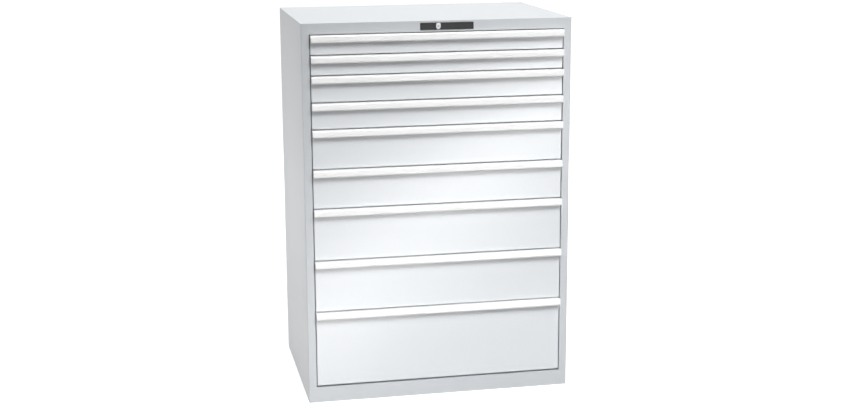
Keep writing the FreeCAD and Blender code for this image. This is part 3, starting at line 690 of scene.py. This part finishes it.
lock_low, lock_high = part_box("lock_cylinder")
lock_centre = ((lock_low.x + lock_high.x) / 2, (lock_low.z + lock_high.z) / 2)
new_piece("lock_face", plate_mesh(*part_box("lock_plate"), lock_centre), [BLACK_PLASTIC], "cabinet",
          ["lock_plate"])
new_piece("lock_badge", shield_mesh(*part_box("lock_shield"), lock_centre), [SATIN_CHROME], "cabinet",
          ["lock_shield"])
new_piece("lock_barrel", cylinder_mesh(lock_low, lock_high, lock_centre), [SATIN_CHROME, SLOT_PAINTED_SHADE],
          "lock_core", ["lock_cylinder"])


# Materials of the nodes that stay

def paint_node(name, material):
    mesh = nodes[name].data
    mesh.materials.clear()
    mesh.materials.append(material)


for name in ("side_panel_right", "side_panel_left", "top_panel", "rear_panel", "floor_pan", "top_rail"):
    paint_node(name, HOUSING_PAINT)
for name in ("uprights", "lock_bar"):
    paint_node(name, UPRIGHT_ZINC)
for name in ("cabinet_rails_right", "cabinet_rails_left"):
    paint_node(name, RAIL_ZINC)
for number in DRAWERS:
    paint_node(f"drawer_rails_{number}", RAIL_ZINC)
    paint_node(f"slide_members_{number}", RAIL_ZINC)
for name in ("lock_cam", "lock_rod"):
    paint_node(name, ROD_ZINC)


# Stage, lights and camera

def plain_background(tree):
    """1 for what the camera sees, directly, in a mirror or through glass, and 0 for other light."""
    path = tree.nodes.new("ShaderNodeLightPath")
    seen = path.outputs["Is Camera Ray"]
    for ray in ("Is Glossy Ray", "Is Transmission Ray"):
        either = tree.nodes.new("ShaderNodeMath")
        either.operation = "MAXIMUM"
        tree.links.new(seen, either.inputs[0])
        tree.links.new(path.outputs[ray], either.inputs[1])
        seen = either.outputs[0]
    return seen


def pale_floor():
    """Matt ground that shows as white. Its own glow is weaker close to the object, so that the
    soft shadow there isn't outshone."""
    glow_near, glow_far = 1.6, 5.0
    glow_low, glow_full = 0.88, 1.0
    material = bpy.data.materials.new("pale_floor")
    material.use_nodes = True
    tree = material.node_tree
    surface = tree.nodes["Principled BSDF"]
    surface.inputs["Base Color"].default_value = (0.32, 0.32, 0.32, 1.0)
    surface.inputs["Roughness"].default_value = 0.9
    shown = tree.nodes.new("ShaderNodeAddShader")
    matt = tree.nodes.new("ShaderNodeBsdfDiffuse")
    matt.inputs["Color"].default_value = (0.40, 0.40, 0.40, 1.0)
    glow = tree.nodes.new("ShaderNodeEmission")
    place = tree.nodes.new("ShaderNodeTexCoord")
    distance = tree.nodes.new("ShaderNodeVectorMath")
    distance.operation = "LENGTH"
    level = tree.nodes.new("ShaderNodeMapRange")
    level.inputs["From Min"].default_value = glow_near
    level.inputs["From Max"].default_value = glow_far
    level.inputs["To Min"].default_value = glow_low
    level.inputs["To Max"].default_value = glow_full
    tree.links.new(place.outputs["Object"], distance.inputs[0])
    tree.links.new(distance.outputs["Value"], level.inputs["Value"])
    tree.links.new(level.outputs["Result"], glow.inputs["Strength"])
    tree.links.new(matt.outputs[0], shown.inputs[0])
    tree.links.new(glow.outputs[0], shown.inputs[1])
    either = tree.nodes.new("ShaderNodeMixShader")
    tree.links.new(plain_background(tree), either.inputs[0])
    tree.links.new(surface.outputs[0], either.inputs[1])
    tree.links.new(shown.outputs[0], either.inputs[2])
    tree.links.new(either.outputs[0], tree.nodes["Material Output"].inputs["Surface"])
    return material


def add_floor(size, height):
    """The ground. It blocks no lamp, because the lower half of the sheen lamp lies under it."""
    mesh = bpy.data.meshes.new("studio_floor")
    half = size / 2
    corners = [(-half, -half, height), (half, -half, height), (half, half, height), (-half, half, height)]
    mesh.from_pydata(corners, [], [(0, 1, 2, 3)])
    mesh.materials.append(pale_floor())
    floor = bpy.data.objects.new("studio_floor", mesh)
    bpy.context.scene.collection.objects.link(floor)
    floor.visible_shadow = False


def white_world(strength):
    """White to the camera and in reflections, and strength as light on the object."""
    world = bpy.data.worlds.new("studio")
    world.use_nodes = True
    bpy.context.scene.world = world
    tree = world.node_tree
    level = tree.nodes.new("ShaderNodeMapRange")
    level.inputs["To Min"].default_value = strength
    level.inputs["To Max"].default_value = 1.0
    tree.links.new(plain_background(tree), level.inputs["Value"])
    tree.links.new(level.outputs["Result"], tree.nodes["Background"].inputs["Strength"])
    tree.nodes["Background"].inputs["Color"].default_value = (1.0, 1.0, 1.0, 1.0)


def area_light(name, place, target, size, power, turn=0.0, spread=180.0):
    """A soft rectangular lamp aimed at a point; turn spins it about its own axis, in degrees."""
    data = bpy.data.lights.new(name, "AREA")
    data.shape = "RECTANGLE"
    data.size, data.size_y = size
    data.energy = power
    data.spread = math.radians(spread)
    lamp = bpy.data.objects.new(name, data)
    bpy.context.scene.collection.objects.link(lamp)
    lamp.location = place
    aim = (Vector(target) - Vector(place)).to_track_quat("-Z", "Y")
    lamp.rotation_mode = "QUATERNION"
    lamp.rotation_quaternion = aim @ Quaternion((0.0, 0.0, 1.0), math.radians(turn))
    lamp.visible_camera = False
    return lamp


white_world(0.27)
add_floor(40.0, -0.0005)

# Front: two large lamps from above, and a small one for the lower left corner
area_light("key", (1.4, -5.4, 6.0), (0.45, -0.35, 0.25), (4.2, 4.2), 44.5, spread=50.0)
area_light("key_right", (3.0, -5.0, 5.2), (0.6, -0.35, 0.10), (3.0, 3.0), 11.0, spread=36.0)
area_light("corner", (-1.6, -3.6, 1.0), (-0.45, -0.35, 0.10), (1.0, 1.0), 1.4, spread=40.0)

# Roof and left side; the fill doesn't show as a bright patch in the slides of open drawers
area_light("roof_light", (0.0, 0.9, 4.2), (0.0, 0.1, 1.45), (2.0, 1.6), 56.0)
left_fill = area_light("left_fill", (-1.56, 0.05, 0.80), (-0.5, 0.05, 0.80), (0.5, 0.4), 4.0)
left_fill.visible_glossy = False

# Back and right side, which only show from other views
area_light("back_light", (1.6, 4.6, 0.75), (0.0, 0.37, 0.75), (2.2, 1.0), 105.0)
area_light("right_light", (4.6, 0.3, 0.75), (0.5, 0.0, 0.75), (1.8, 1.0), 50.0)

# The bright diagonal across the fronts is the reflection of this long, tilted lamp
sheen = area_light("sheen", (0.641, -3.35, 0.071), (0.641, -0.35, 0.071), (0.46, 3.95), 62.0, turn=-50.3)
sheen.visible_diffuse = False

# Camera, fitted to the corners of the cabinet in the photo
IMAGE_WIDTH = 854.0
FOCAL_PIXELS = 1461.48
SENSOR_WIDTH = 36.0

data = bpy.data.cameras.new("camera")
camera = bpy.data.objects.new("camera", data)
bpy.context.scene.collection.objects.link(camera)
yaw, pitch, roll = -0.2017, -0.2191, -0.0051
forward = Vector((-math.sin(yaw) * math.cos(pitch), math.cos(yaw) * math.cos(pitch), math.sin(pitch)))
level_right = Vector((math.cos(yaw), math.sin(yaw), 0.0))
level_up = level_right.cross(forward)
right = level_right * math.cos(roll) + level_up * math.sin(roll)
up = level_up * math.cos(roll) - level_right * math.sin(roll)
camera.location = (-1.1296, -5.6447, 1.9579)
camera.rotation_mode = "QUATERNION"
camera.rotation_quaternion = Matrix((right, up, -forward)).transposed().to_quaternion()
data.sensor_width = SENSOR_WIDTH
data.lens = FOCAL_PIXELS * SENSOR_WIDTH / IMAGE_WIDTH
data.clip_end = 100.0
bpy.context.scene.camera = camera
bpy.context.scene.view_settings.view_transform = "Standard"
